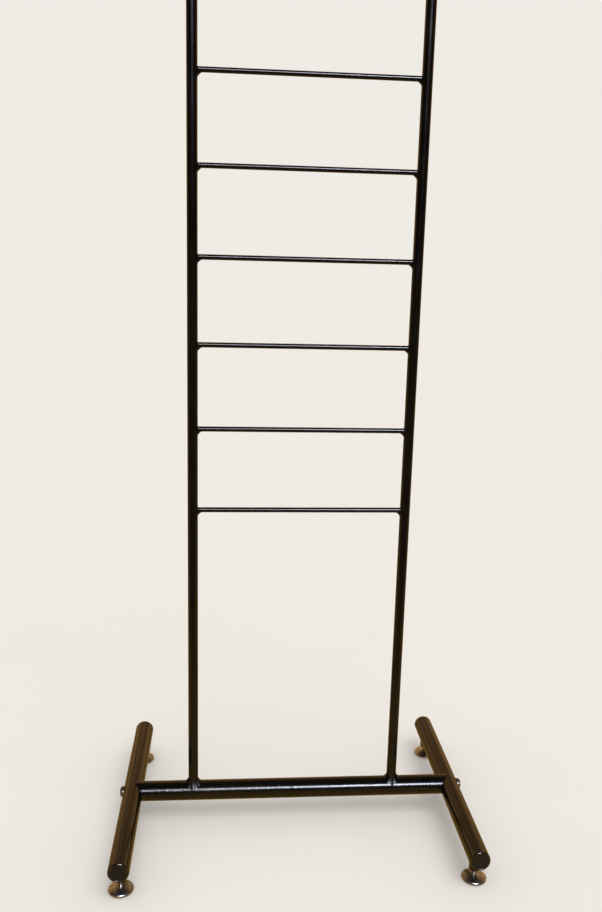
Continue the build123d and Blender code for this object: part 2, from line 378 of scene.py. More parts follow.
# ---- Upright welds -----------------------------------------------------------------------------
# A full bead round the foot of each upright, lying in the saddle where thin tube meets thick. It is
# the largest weld on the rack and flares out on both sides of the tube.

UPRIGHT_LEG = 6.5 * MM
SADDLE_RIPPLE_DEPTH = 0.11  # of the leg; these beads were laid slower, and their ripples stand prouder
BEAD_RISE = 1.25            # height over leg, in line with the level tube
BEAD_RISE_LOSS = 0.37       # how much of that is lost across it
BEAD_SPREAD = 0.04          # and how much wider the bead is there
BEAD_HOLLOW = 0.42          # 0.5 is a flat bead, and less is hollow
RIPPLE_TURN = {"left": 1.5, "right": 0.0}  # radians, so that the two beads differ


def saddle_bead(centre, radius, base_radius, base_height, leg, up, base_runs_along_x, phase):
    """A bead round an upright tube or boss where it meets a level tube: a row of closed sections. It
    climbs highest in line with the level tube, and across it runs down as a straight face. up is 1 on top
    of the level tube and -1 under it."""
    sections = []
    for i in range(WELD_STEPS):
        a = turn(i, WELD_STEPS)
        here = leg * ripple(a, phase, SADDLE_RIPPLE_DEPTH)

        def point(out, rise):
            """A point that far out from the standing tube's skin, and that far off the level tube's skin."""
            dx, dy = (radius + out) * math.cos(a), (radius + out) * math.sin(a)
            across = dy if base_runs_along_x else dx
            z = base_height + up * (saddle(across, base_radius) + rise)
            return Vector((centre.x + dx, centre.y + dy, z))

        across_bar = math.sin(a) ** 2 if base_runs_along_x else math.cos(a) ** 2
        out, rise = here * (1.0 + BEAD_SPREAD * across_bar), here * (BEAD_RISE - BEAD_RISE_LOSS * across_bar)
        section = bend(point(0, rise), point(BEAD_HOLLOW * out, BEAD_HOLLOW * rise), point(out, 0))
        section.append(point(-RUNG_BITE, -RUNG_BITE))
        sections.append(section)
    return sections


for side in SIDES:
    node = f"upright_weld_{side}"
    foot = middle(node)
    bead = saddle_bead(
        foot, upright_radius, bar_radius, bar_height, UPRIGHT_LEG, up=1, base_runs_along_x=True,
        phase=RIPPLE_TURN[side])
    settle(skin(f"{node}_bead", bead), weld_paint, "frame", "black_enamel", node)


# ---- Threaded plates ---------------------------------------------------------------------------
# A turned steel disc with a tapped hole, pressed into each end of the crossbar and tack welded. The
# tube hides it, so the CAD piece stays, in bare turned steel.

def turned_steel(name):
    """Mild steel off the lathe: grey, with fine rings that stretch the highlight, and a film of oil."""
    ring_pitch = 0.8 * MM
    material, tree = new_material(name)
    place = add(tree, "ShaderNodeTexCoord").outputs["Object"]
    rings = add(tree, "ShaderNodeTexNoise", {"Vector": place, "Scale": 1 / ring_pitch, "Detail": 3.0})
    tone = add(tree, "ShaderNodeMapRange", {
        "Value": rings.outputs["Fac"], "To Min": 0.28, "To Max": 0.5})
    bump = add(tree, "ShaderNodeBump", {"Height": rings.outputs["Fac"], "Distance": 0.02 * MM})
    metal = add(tree, "ShaderNodeBsdfPrincipled", {
        "Base Color": linear("#8E8B86"), "Metallic": 1.0, "Roughness": tone.outputs["Result"],
        "Normal": bump.outputs["Normal"]})
    add(tree, "ShaderNodeOutputMaterial", {"Surface": metal.outputs["BSDF"]})
    return material


plate_steel = turned_steel("turned_mild_steel")
for side in SIDES:
    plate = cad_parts[f"crossbar_threaded_plate_{side}"]
    plate.data.materials.clear()
    plate.data.materials.append(plate_steel)


# ---- Foot tubes --------------------------------------------------------------------------------
# Two lengths of the same 38 mm tube laid front to back. They are sawn square, drilled for the base
# bolt and for the levelling screws, and coated before the plugs go in.

SCREW_HOLE = 4.5 * MM    # radius of the hole in the lower wall, over a boss
BOLT_HOLE = 4.5 * MM
HOLE_STEPS = 48
HOLE_RING = 6 * MM       # the rings next to a hole stand this far from its middle, under the boss or washer
HOLE_ZONE = 8 * MM       # and no other ring comes closer than this
DRILL_OVERRUN = 1 * MM


def foot_ring(x, radius, y):
    """A ring round a foot tube."""
    angles = [turn(i, BAR_STEPS) for i in range(BAR_STEPS)]
    return [Vector((x + radius * math.cos(a), y, bar_height + radius * math.sin(a))) for a in angles]


def drill(piece, start, stop, radius):
    """Drills a round hole through a piece, along the line from start to stop."""
    along = (stop - start).normalized()
    across = along.orthogonal()
    over = along.cross(across)
    ring = [radius * (across * math.cos(turn(i, HOLE_STEPS)) + over * math.sin(turn(i, HOLE_STEPS)))
            for i in range(HOLE_STEPS)]
    bit = skin("drill", [[start], [start + p for p in ring], [stop + p for p in ring], [stop]])
    cut = piece.modifiers.new("hole", "BOOLEAN")
    cut.operation, cut.solver, cut.object = "DIFFERENCE", "EXACT", bit
    drilled = bpy.data.meshes.new_from_object(piece.evaluated_get(bpy.context.evaluated_depsgraph_get()))
    drilled.set_sharp_from_angle(angle=CREASE)
    piece.modifiers.clear()
    piece.data = drilled
    bpy.data.objects.remove(bit)


for side, sign in zip(SIDES, (-1, 1)):
    node = f"foot_tube_{side}"
    x = middle(node).x
    half = size(node).y / 2
    screw_ys = [middle(f"leveller_boss_{end}_{side}").y for end in ENDS]
    levels = [-half + SAW_EDGE + (2 * half - 2 * SAW_EDGE) * k / TUBE_SPANS for k in range(TUBE_SPANS + 1)]
    for y in screw_ys + [0.0]:
        levels = [level for level in levels if abs(level - y) > HOLE_ZONE] + [y - HOLE_RING, y + HOLE_RING]
    levels.sort()
    bore = bar_radius - BASE_WALL
    rings = [foot_ring(x, bar_radius - SAW_EDGE, -half)]
    rings += [foot_ring(x, bar_radius, y) for y in levels]
    rings += [foot_ring(x, bar_radius - SAW_EDGE, half), foot_ring(x, bore, half), foot_ring(x, bore, -half)]
    tube = skin(f"{node}_coated", rings)
    below = bar_height - bar_radius - DRILL_OVERRUN
    for y in screw_ys:
        drill(tube, Vector((x, y, bar_height)), Vector((x, y, below)), SCREW_HOLE)
    through = (bar_radius + DRILL_OVERRUN) * sign
    drill(tube, Vector((x - through, 0, bar_height)), Vector((x + through, 0, bar_height)), BOLT_HOLE)
    settle(tube, tube_paint, "frame", "black_enamel", node)


# ---- Tube plugs --------------------------------------------------------------------------------
# Push-in plugs moulded in black polyethylene close the feet and the tops of the uprights. A glossy
# raised rim runs round a slightly sunken face with a fine spark-eroded grain.

def moulded_polyethylene(name, middle_point, outward, face_radius):
    """Black polyethylene. The rim is polished in the mould and shines; the face inside it is grained
    and dull. face_radius is where one turns into the other."""
    grain_pitch = 0.9 * MM  # spark-eroded grain, about three times as coarse as real
    material, tree = new_material(name)
    place = add(tree, "ShaderNodeTexCoord").outputs["Object"]
    grain = add(tree, "ShaderNodeTexNoise", {"Vector": place, "Scale": 1 / grain_pitch, "Detail": 3.0})
    blot = add(tree, "ShaderNodeTexNoise", {"Vector": place, "Scale": 1 / (9 * MM), "Detail": 3.0})
    offset = add(tree, "ShaderNodeVectorMath", {1: tuple(middle_point)}, operation="SUBTRACT")
    tree.links.new(place, offset.inputs[0])
    flat = add(tree, "ShaderNodeVectorMath", {
        1: tuple(1 - abs(c) for c in outward)}, operation="MULTIPLY")
    tree.links.new(offset.outputs["Vector"], flat.inputs[0])
    from_axis = add(tree, "ShaderNodeVectorMath", operation="LENGTH")
    tree.links.new(flat.outputs["Vector"], from_axis.inputs[0])
    rim = add(tree, "ShaderNodeMapRange", {
        "Value": from_axis.outputs["Value"], "From Min": face_radius * 0.97, "From Max": face_radius * 1.02})
    rough = add(tree, "ShaderNodeMapRange", {
        "Value": rim.outputs["Result"], "To Min": 0.52, "To Max": 0.10})
    polish = add(tree, "ShaderNodeMapRange", {
        "Value": rim.outputs["Result"], "To Min": 0.4, "To Max": 1.0})
    colour = add(tree, "ShaderNodeValToRGB", {"Fac": blot.outputs["Fac"]})
    colour.color_ramp.elements[0].position = 0.35
    colour.color_ramp.elements[0].color = linear("#0F100A")
    colour.color_ramp.elements[1].position = 0.70
    colour.color_ramp.elements[1].color = linear("#17180F")
    depth = add(tree, "ShaderNodeMapRange", {
        "Value": rim.outputs["Result"], "To Min": 1.0, "To Max": 0.0})
    bump = add(tree, "ShaderNodeBump", {
        "Height": grain.outputs["Fac"], "Strength": depth.outputs["Result"], "Distance": 0.05 * MM})
    plastic = add(tree, "ShaderNodeBsdfPrincipled", {
        "Base Color": colour.outputs["Color"], "Roughness": rough.outputs["Result"], "IOR": 1.51,
        "Specular IOR Level": polish.outputs["Result"], "Normal": bump.outputs["Normal"]})
    add(tree, "ShaderNodeOutputMaterial", {"Surface": plastic.outputs["BSDF"]})
    return material


PLUG_FLANGE = 3.0 * MM
PLUG_STEPS = 96
PLUG_RECESS = 0.6 * MM
PLUG_SHANK = 12 * MM
PLUG_WALL = 2 * MM
PLUG_CLEARANCE = 0.1 * MM  # round the shank, inside the tube
PLUG_EDGE = 0.15 * MM      # the inner edge of the flange
RIM_SHARE = 0.145          # of the tube's radius: the raised rim's width and the radius of its outer edge
FACE_SHARE = 0.80          # of the tube's radius: where the grained face ends
FACE_INSET = 1.35          # of the rim's width: how far in from the outside the face starts
RIM_STEPS = 12


def round_corner(centre, radius, start, stop, count):
    """Points on an arc in a profile, angles in degrees."""
    points = []
    for k in range(count):
        a = math.radians(start + (stop - start) * k / (count - 1))
        points.append((centre[0] + radius * math.cos(a), centre[1] + radius * math.sin(a)))
    return points


def spin(profile, place, steps):
    """Rings for a turned piece. profile is a row of (radius, height) pairs, and place gives the point at a
    radius, an angle and a height."""
    rings = []
    for radius, height in profile:
        if radius == 0:
            rings.append([place(0.0, 0.0, height)])
        else:
            rings.append([place(radius, turn(i, steps), height) for i in range(steps)])
    return rings


def plug_profile(tube_radius, tube_wall):
    """Half of a plug's section, from the middle of its face round to the inside of its shank."""
    shank_radius = tube_radius - tube_wall - PLUG_CLEARANCE
    rim = RIM_SHARE * tube_radius
    face = tube_radius - FACE_INSET * rim
    profile = [(0.0, PLUG_FLANGE - PLUG_RECESS), (face * 0.5, PLUG_FLANGE - PLUG_RECESS)]
    profile += [(face - 0.15 * rim, PLUG_FLANGE - PLUG_RECESS), (face, PLUG_FLANGE - 0.75 * PLUG_RECESS)]
    profile += [(face + 0.12 * rim, PLUG_FLANGE - 0.1 * PLUG_RECESS)]
    profile += round_corner((tube_radius - rim, PLUG_FLANGE - rim), rim, 90, 0, RIM_STEPS)[1:]
    profile += [(tube_radius, PLUG_EDGE), (tube_radius - PLUG_EDGE, 0.0), (shank_radius, 0.0)]
    profile += [(shank_radius, -PLUG_SHANK), (shank_radius - PLUG_WALL, -PLUG_SHANK)]
    profile += [(shank_radius - PLUG_WALL, 0.0), (0.0, 0.0)]
    return profile


for side in SIDES:
    for end, direction in zip(ENDS, (-1, 1)):
        node = f"foot_plug_{end}_{side}"
        centre = middle(node)
        face_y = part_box(node)[0].y if direction < 0 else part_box(node)[1].y
        back_y = face_y - direction * PLUG_FLANGE

        def place(radius, angle, out):
            """A point on a foot plug, out from the end of the foot tube."""
            return Vector((
                centre.x + radius * math.cos(angle), back_y + direction * out,
                bar_height + radius * math.sin(angle)))

        plastic = moulded_polyethylene(
            f"moulded_polyethylene_{end}_{side}", (centre.x, face_y, bar_height), (0, 1, 0),
            FACE_SHARE * bar_radius)
        piece = skin(f"{node}_moulding", spin(plug_profile(bar_radius, BASE_WALL), place, PLUG_STEPS))
        settle(piece, plastic, "frame", "plug_plastic", node)

for side in SIDES:
    node = f"upright_plug_{side}"
    centre = middle(node)
    back_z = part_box(node)[1].z - PLUG_FLANGE

    def place(radius, angle, out):
        """A point on an upright plug, up from the top of the upright."""
        return Vector((centre.x + radius * math.cos(angle), radius * math.sin(angle), back_z + out))

    plastic = moulded_polyethylene(
        f"moulded_polyethylene_top_{side}", (centre.x, 0, back_z), (0, 0, 1), FACE_SHARE * upright_radius)
    piece = skin(f"{node}_moulding", spin(plug_profile(upright_radius, UPRIGHT_WALL), place, PLUG_STEPS))
    settle(piece, plastic, "frame", "plug_plastic", node)


# ---- Saddle washers ----------------------------------------------------------------------------
# A pressed steel washer, hollowed on one side to lie on the round foot tube and flat on the other
# for the bolt's head. It is bright nickel plated like the bolt.

def bright_nickel(name, brush_pitch, roughness, dull="#85807A", bright="#BDB8B0"):
    """Steel with bright nickel over it: a mirror softened by fine polishing marks and by handling. Its
    colour wanders between dull, where it has tarnished, and bright."""
    material, tree = new_material(name)
    place = add(tree, "ShaderNodeTexCoord").outputs["Object"]
    marks = add(tree, "ShaderNodeTexNoise", {"Vector": place, "Scale": 1 / brush_pitch, "Detail": 4.0})
    tarnish = add(tree, "ShaderNodeTexNoise", {"Vector": place, "Scale": 1 / (7 * MM), "Detail": 5.0})
    colour = add(tree, "ShaderNodeValToRGB", {"Fac": tarnish.outputs["Fac"]})
    colour.color_ramp.elements[0].position = 0.32
    colour.color_ramp.elements[0].color = linear(dull)
    colour.color_ramp.elements[1].position = 0.62
    colour.color_ramp.elements[1].color = linear(bright)
    rough = add(tree, "ShaderNodeMapRange", {
        "Value": marks.outputs["Fac"], "To Min": roughness * 0.6, "To Max": roughness * 1.5})
    bump = add(tree, "ShaderNodeBump", {"Height": marks.outputs["Fac"], "Distance": 0.006 * MM})
    metal = add(tree, "ShaderNodeBsdfPrincipled", {
        "Base Color": colour.outputs["Color"], "Metallic": 1.0, "Roughness": rough.outputs["Result"],
        "Normal": bump.outputs["Normal"]})
    add(tree, "ShaderNodeOutputMaterial", {"Surface": metal.outputs["BSDF"]})
    return material


fastener_nickel = bright_nickel(
    "bright_nickel_on_fasteners", brush_pitch=0.7 * MM, roughness=0.36, dull="#625D56", bright="#938D84")
FASTENER_STEPS = 72
WASHER_EDGE = 0.35 * MM
washer_radius = size("saddle_washer_right").z / 2
WASHER_BORE = 4.5 * MM

for side, sign in zip(SIDES, (-1, 1)):
    node = f"saddle_washer_{side}"
    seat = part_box(node)[1].x if sign > 0 else -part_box(node)[0].x

    def washer_ring(radius, depth):
        """A ring round the washer; depth is in from its flat face, or None on the foot tube."""
        points = []
        for i in range(FASTENER_STEPS):
            a = turn(i, FASTENER_STEPS)
            y, dz = radius * math.cos(a), radius * math.sin(a)
            x = foot_x + saddle(dz, bar_radius) if depth is None else seat - depth
            points.append(Vector((sign * x, y, bar_height + dz)))
        return points

    rings = [washer_ring(WASHER_BORE, 0), washer_ring(washer_radius - WASHER_EDGE, 0)]
    rings += [washer_ring(washer_radius, WASHER_EDGE), washer_ring(washer_radius, None)]
    rings += [washer_ring(WASHER_BORE, None)]
    settle(skin(f"{node}_pressing", rings), fastener_nickel, "frame", "nickel", node)


# ---- Base bolts --------------------------------------------------------------------------------
# A furniture bolt with a wide, low dome and a hexagon socket. It goes through the foot tube and pulls
# the crossbar's notch tight against it.

HEAD_RADIUS = 10.0 * MM
HEAD_HEIGHT = 5.5 * MM
HEAD_LIP = 1.1 * MM      # straight edge under the dome
SOCKET_FLATS = 5.0 * MM
SOCKET_DEPTH = 2.5 * MM
SOCKET_CONE = 0.4 * MM   # the drill point at the socket's bottom
SOCKET_MOUTH = 0.62      # radius of the socket's countersunk mouth, of its flats
MOUTH_CHAMFER = 0.35 * MM
DOME_RINGS = 12
HEAD_EDGE = 0.25 * MM
TIP_CHAMFER = 1 * MM
SHANK_RADIUS = 3.95 * MM


def hexagon(angle, across_flats):
    """Distance from the middle of a hexagon to its edge."""
    sector = math.pi / 3
    return across_flats / 2 / math.cos((angle + sector / 2) % sector - sector / 2)


for side, sign in zip(SIDES, (-1, 1)):
    node = f"base_bolt_{side}"
    low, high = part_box(node)
    shank_tip = -high.x if sign < 0 else low.x
    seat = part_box(f"saddle_washer_{side}")[1].x if sign > 0 else -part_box(f"saddle_washer_{side}")[0].x
    lip = seat + HEAD_LIP

    def bolt_ring(radius, x):
        """A ring round the bolt; radius is a length or a function of the angle."""
        points = []
        for i in range(FASTENER_STEPS):
            a = turn(i, FASTENER_STEPS)
            r = radius(a) if callable(radius) else radius
            points.append(Vector((sign * x, r * math.cos(a), bar_height + r * math.sin(a))))
        return points

    def dome(radius):
        """How far out the dome stands at that radius."""
        return lip + (HEAD_HEIGHT - HEAD_LIP) * math.sqrt(max(1 - (radius / HEAD_RADIUS) ** 2, 0.0))

    socket_floor = dome(0) - SOCKET_DEPTH
    mouth = SOCKET_FLATS * SOCKET_MOUTH
    rings = [[Vector((sign * (socket_floor - SOCKET_CONE), 0, bar_height))]]
    rings.append(bolt_ring(lambda a: hexagon(a, SOCKET_FLATS), socket_floor))
    rings.append(bolt_ring(lambda a: hexagon(a, SOCKET_FLATS), dome(mouth) - MOUTH_CHAMFER))
    rings.append(bolt_ring(lambda a: max(hexagon(a, SOCKET_FLATS), mouth), dome(mouth)))
    for k in range(1, DOME_RINGS + 1):
        spread = math.sin(math.pi / 2 * k / DOME_RINGS)
        radius = mouth + (HEAD_RADIUS - mouth) * spread
        rings.append(bolt_ring(radius, dome(radius)))
    rings += [bolt_ring(HEAD_RADIUS, seat + HEAD_EDGE), bolt_ring(HEAD_RADIUS - HEAD_EDGE, seat)]
    rings += [bolt_ring(SHANK_RADIUS, seat), bolt_ring(SHANK_RADIUS, shank_tip + TIP_CHAMFER)]
    rings += [bolt_ring(SHANK_RADIUS - TIP_CHAMFER, shank_tip), [Vector((sign * shank_tip, 0, bar_height))]]
    settle(skin(f"{node}_domed", rings), fastener_nickel, "frame", "nickel", node)


# ---- Levelling bosses --------------------------------------------------------------------------
# A short turned boss with an M8 thread, welded under each foot tube near its end and coated with it.
# Its lower edge is chamfered, and the bead at the top is the smallest weld on the rack.

BOSS_CHAMFER = 1.0 * MM
BOSS_LEG = 2.4 * MM
BOSS_STEPS = 72
BOSS_PHASE = 7    # makes the four beads differ
THREAD_BORE = 4.0 * MM
BORE_CHAMFER = 0.5 * MM
boss_radius = size("leveller_boss_front_left").x / 2

for side in SIDES:
    for end in ENDS:
        node = f"leveller_boss_{end}_{side}"
        centre = middle(node)
        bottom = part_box(node)[0].z

        def boss_ring(radius, z):
            """A ring round the boss; z None is its top, notched to the foot tube."""
            points = []
            for i in range(BOSS_STEPS):
                a = turn(i, BOSS_STEPS)
                dx, dy = radius * math.cos(a), radius * math.sin(a)
                level = bar_height - saddle(dx, bar_radius) if z is None else z
                points.append(Vector((centre.x + dx, centre.y + dy, level)))
            return points

        rings = [boss_ring(boss_radius, None), boss_ring(boss_radius, bottom + BOSS_CHAMFER)]
        rings.append(boss_ring(boss_radius - BOSS_CHAMFER, bottom))
        rings.append(boss_ring(THREAD_BORE + BORE_CHAMFER, bottom))
        rings += [boss_ring(THREAD_BORE, bottom + BORE_CHAMFER), boss_ring(THREAD_BORE, None)]
        bead = saddle_bead(
            centre, boss_radius, bar_radius, bar_height, BOSS_LEG, up=-1, base_runs_along_x=False,
            phase=centre.x * BOSS_PHASE + centre.y)
        piece = skin(f"{node}_coated", rings, bead)
        settle(piece, weld_paint, "frame", "black_enamel", node)


# ---- Levelling studs ---------------------------------------------------------------------------
# An M8 stud with a rolled thread, plated bright. It screws up into the boss, and its collar turns
# inside the cup, so the cup stays still while the stud is turned.

THREAD_PITCH = 1.25 * MM
THREAD_DEPTH = 0.70 * MM
THREAD_CUTS = 10   # rings in one pitch
THREAD_STEPS = 40
THREAD_FLAT = 0.1  # crest and root, as a share of half a pitch
STUD_RADIUS = 3.95 * MM
COLLAR_RADIUS = 6.6 * MM
COLLAR_THICKNESS = 2.5 * MM
NECK_RADIUS = STUD_RADIUS - 0.3 * MM
NECK_RISE = 1.2 * MM  # plain neck between the cup and the thread
thread_nickel = bright_nickel("bright_nickel_on_thread", brush_pitch=0.5 * MM, roughness=0.26)

for side in SIDES:
    for end in ENDS:
        node = f"leveller_stud_{end}_{side}"
        centre = middle(node)
        bottom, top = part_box(node)[0].z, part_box(node)[1].z
        thread_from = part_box(f"leveller_cup_{end}_{side}")[1].z + NECK_RISE

        def stud_ring(radius, z, cut=0.0):
            """A ring round the stud. cut is how deep the thread is there."""
            points = []
            for i in range(THREAD_STEPS):
                a = turn(i, THREAD_STEPS)
                wave = abs(2 * ((z / THREAD_PITCH - a / (2 * math.pi)) % 1.0) - 1)
                flank = (wave - THREAD_FLAT) / (1 - 2 * THREAD_FLAT)
                r = radius - cut * min(max(flank, 0.0), 1.0)
                points.append(Vector((centre.x + r * math.cos(a), centre.y + r * math.sin(a), z)))
            return points

        rings = [[Vector((centre.x, centre.y, bottom))]]
        rings += [stud_ring(COLLAR_RADIUS, bottom), stud_ring(COLLAR_RADIUS, bottom + COLLAR_THICKNESS)]
        rings += [stud_ring(NECK_RADIUS, bottom + COLLAR_THICKNESS), stud_ring(NECK_RADIUS, thread_from)]
        cuts = int((top - TIP_CHAMFER - thread_from) / THREAD_PITCH * THREAD_CUTS)
        for k in range(1, cuts + 1):
            deep = THREAD_DEPTH * min(1.0, k / THREAD_CUTS)
            rings.append(stud_ring(STUD_RADIUS, thread_from + k * THREAD_PITCH / THREAD_CUTS, deep))
        rings += [stud_ring(STUD_RADIUS - TIP_CHAMFER, top), [Vector((centre.x, centre.y, top))]]
        piece = skin(f"{node}_threaded", rings)
        settle(piece, thread_nickel, f"leveller_screw_{end}_{side}", "nickel", node)


# ---- Levelling cups ----------------------------------------------------------------------------
# A shallow dome pressed from 1.5 mm sheet, with a turned-down rim, and bright plated. It spreads the
# load on the floor, and its front edge catches the brightest light on the rack.

CUP_STEPS = 96
CUP_SHEET = 1.5 * MM
CUP_SHOULDER = 4.2 * MM     # radius of the turned-down edge
SHOULDER_RISE = 0.6 * MM    # height of its lower end over the rim
SHOULDER_START = 72         # degrees from level, where the dome runs into it
SHOULDER_STEPS = 10
CUP_HUB = 6.0 * MM
CUP_SWELL = 0.35 * MM       # how far the dome stands over a straight cone
DOME_SPANS = 8
PRESSED_EDGE = 0.2 * MM
RIM_BEVEL = 0.3 * MM
COLLAR_CLEARANCE = 0.3 * MM
SHEET_STEP = 0.8            # of the sheet, both in and down: about one thickness square to the shoulder
INSIDE_GAP = 0.1 * MM       # the inside ends this far over the rim
cup_nickel = bright_nickel(
    "bright_nickel_on_cup", brush_pitch=1.4 * MM, roughness=0.28, dull="#85878A", bright="#C3C5C6")


def cup_profile(radius, rim, top):
    """Half of a cup's section: from the stud hole over the dome to the rim, and back inside."""
    shoulder_at = (radius - CUP_SHOULDER, rim + SHOULDER_RISE)
    arc = round_corner(shoulder_at, CUP_SHOULDER, SHOULDER_START, 0, SHOULDER_STEPS)
    first = arc[0]
    outside = [(THREAD_BORE, top - PRESSED_EDGE), (THREAD_BORE + PRESSED_EDGE, top), (CUP_HUB, top)]
    for k in range(1, DOME_SPANS):
        t = k / DOME_SPANS
        swell = CUP_SWELL * math.sin(math.pi * t)
        outside.append((CUP_HUB + (first[0] - CUP_HUB) * t, top + (first[1] - top) * t + swell))
    outside += arc + [(radius, rim + PRESSED_EDGE), (radius - RIM_BEVEL, rim)]
    step = CUP_SHEET * SHEET_STEP
    inside = [(r - step, max(z - step, rim + INSIDE_GAP)) for r, z in reversed(arc)]
    inside = [(radius - CUP_SHEET, rim)] + inside
    inside += [(COLLAR_RADIUS + COLLAR_CLEARANCE, top - CUP_SHEET), (THREAD_BORE, top - CUP_SHEET)]
    return outside + inside


for side in SIDES:
    for end in ENDS:
        node = f"leveller_cup_{end}_{side}"
        low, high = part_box(node)
        centre = (low + high) / 2

        def place(radius, angle, z):
            """A point on a cup, round the stud's axis."""
            return Vector((centre.x + radius * math.cos(angle), centre.y + radius * math.sin(angle), z))

        rings = spin(cup_profile((high.x - low.x) / 2, low.z, high.z), place, CUP_STEPS)
        settle(skin(f"{node}_pressing", rings), cup_nickel, f"leveller_foot_{end}_{side}", "nickel", node)


# ---- Levelling pads ----------------------------------------------------------------------------
# A dark nylon disc snapped into each cup. It stands a little below the steel rim, so that only nylon
# touches the floor.

def filled_nylon(name):
    """Dark grey nylon: waxy, fairly dull, with a faint flow pattern and scratches from the floor."""
    material, tree = new_material(name)
    place = add(tree, "ShaderNodeTexCoord").outputs["Object"]
    flow = add(tree, "ShaderNodeTexNoise", {"Vector": place, "Scale": 1 / (6 * MM), "Detail": 5.0})
    fine = add(tree, "ShaderNodeTexNoise", {"Vector": place, "Scale": 1 / (0.8 * MM), "Detail": 2.0})
    colour = add(tree, "ShaderNodeValToRGB", {"Fac": flow.outputs["Fac"]})
    colour.color_ramp.elements[0].color = linear("#1C1B1A")
    colour.color_ramp.elements[1].color = linear("#35332F")
    rough = add(tree, "ShaderNodeMapRange", {
        "Value": flow.outputs["Fac"], "To Min": 0.42, "To Max": 0.62})
    bump = add(tree, "ShaderNodeBump", {"Height": fine.outputs["Fac"], "Distance": 0.03 * MM})
    plastic = add(tree, "ShaderNodeBsdfPrincipled", {
        "Base Color": colour.outputs["Color"], "Roughness": rough.outputs["Result"], "IOR": 1.53,
        "Normal": bump.outputs["Normal"]})
    add(tree, "ShaderNodeOutputMaterial", {"Surface": plastic.outputs["BSDF"]})
    return material


pad_nylon = filled_nylon("dark_nylon")
PAD_EDGE = 0.5 * MM
PAD_WALL = 2.2 * MM        # height of the pad's straight side
PAD_SHOULDER = 2.8 * MM    # height a little further in, where the slope to the middle starts
PAD_SLOPE = 3 * MM         # how much further in that is
PAD_CLEARANCE = 0.3 * MM   # inside the cup, and round the collar
PAD_TOP_GAP = 0.9 * MM
for side in SIDES:
    for end in ENDS:
        node = f"leveller_pad_{end}_{side}"
        low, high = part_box(node)
        centre = (low + high) / 2
        radius = (high.x - low.x) / 2 - PAD_CLEARANCE
        recess_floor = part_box(f"leveller_stud_{end}_{side}")[0].z - PAD_CLEARANCE
        recess = COLLAR_RADIUS + PAD_CLEARANCE

        def place(r, angle, z):
            """A point on a pad, round the stud's axis."""
            return Vector((centre.x + r * math.cos(angle), centre.y + r * math.sin(angle), z))

        profile = [(0.0, 0.0), (radius - 2 * PAD_EDGE, 0.0)]
        profile += [(radius - PAD_EDGE * 0.6, PAD_EDGE * 0.25), (radius, PAD_EDGE)]
        profile += [(radius, PAD_WALL), (radius - PAD_SLOPE, PAD_SHOULDER), (recess, high.z - PAD_TOP_GAP)]
        profile += [(recess, recess_floor), (0.0, recess_floor)]
        piece = skin(f"{node}_moulding", spin(profile, place, CUP_STEPS))
        settle(piece, pad_nylon, f"leveller_foot_{end}_{side}", "pad_plastic", node)


# ---- Studio ------------------------------------------------------------------------------------
# A plain pale floor under even light, and two cool soft boxes high in front, seen only as highlights.
# The black coat reflects a dim room with brown walls behind, and below it a painted reflection of brown
# boards: the floor glows brown for reflected rays only. The camera stands in front and looks down.

FLOOR_RADIUS = 60.0
FLOOR_STEPS = 96


def pale_floor(name):
    """Smooth painted floor: pale, warm and matt, with the faintest mottling. For reflected rays only it
    glows brown, stronger near the rack than further in front: a painted reflection of floor boards in the
    coat."""
    material, tree = new_material(name)
    place = add(tree, "ShaderNodeTexCoord").outputs["Object"]
    mottle = add(tree, "ShaderNodeTexNoise", {"Vector": place, "Scale": 1 / 0.6, "Detail": 3.0})
    colour = add(tree, "ShaderNodeValToRGB", {"Fac": mottle.outputs["Fac"]})
    colour.color_ramp.elements[0].color = linear("#F1EDE6")
    colour.color_ramp.elements[1].color = linear("#F4F0EA")
    paint = add(tree, "ShaderNodeBsdfDiffuse", {"Color": colour.outputs["Color"]})
    # Painted reflection: glossy rays see a brown glow in place of the pale paint, stronger near the rack.
    across = add(tree, "ShaderNodeSeparateXYZ", {"Vector": place})
    fade = add(tree, "ShaderNodeMapRange", {
        "Value": across.outputs["Y"], "From Min": -1.0, "From Max": -0.3, "To Min": 0.28, "To Max": 1.35})
    painted_board_reflection = add(tree, "ShaderNodeEmission", {
        "Color": linear("#97733A"), "Strength": fade.outputs["Result"]})
    mirrored = add(tree, "ShaderNodeLightPath").outputs["Is Glossy Ray"]
    seen = add(tree, "ShaderNodeMixShader", {"Fac": mirrored})
    tree.links.new(paint.outputs["BSDF"], seen.inputs[1])
    tree.links.new(painted_board_reflection.outputs["Emission"], seen.inputs[2])
    add(tree, "ShaderNodeOutputMaterial", {"Surface": seen.outputs["Shader"]})
    return material


floor_mesh = bpy.data.meshes.new("floor")
floor_angles = [turn(i, FLOOR_STEPS) for i in range(FLOOR_STEPS)]
floor_points = [(FLOOR_RADIUS * math.cos(a), FLOOR_RADIUS * math.sin(a), 0) for a in floor_angles]
floor_mesh.from_pydata(floor_points, [], [tuple(range(FLOOR_STEPS))])
floor = bpy.data.objects.new("floor", floor_mesh)
floor_mesh.materials.append(pale_floor("pale_floor_paint"))
bpy.context.scene.collection.objects.link(floor)
floor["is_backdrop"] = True


def soft_light(name, place, aim, width, height, power, colour):
    """A rectangular soft box that points at aim."""
    lamp = bpy.data.lights.new(name, "AREA")
    lamp.shape = "RECTANGLE"
    lamp.size, lamp.size_y = width, height
    lamp.energy = power
    lamp.color = linear(colour)[:3]
    box = bpy.data.objects.new(name, lamp)
    box.location = place
    box.rotation_euler = (Vector(aim) - Vector(place)).to_track_quat("-Z", "Y").to_euler()
    bpy.context.scene.collection.objects.link(box)
    return box


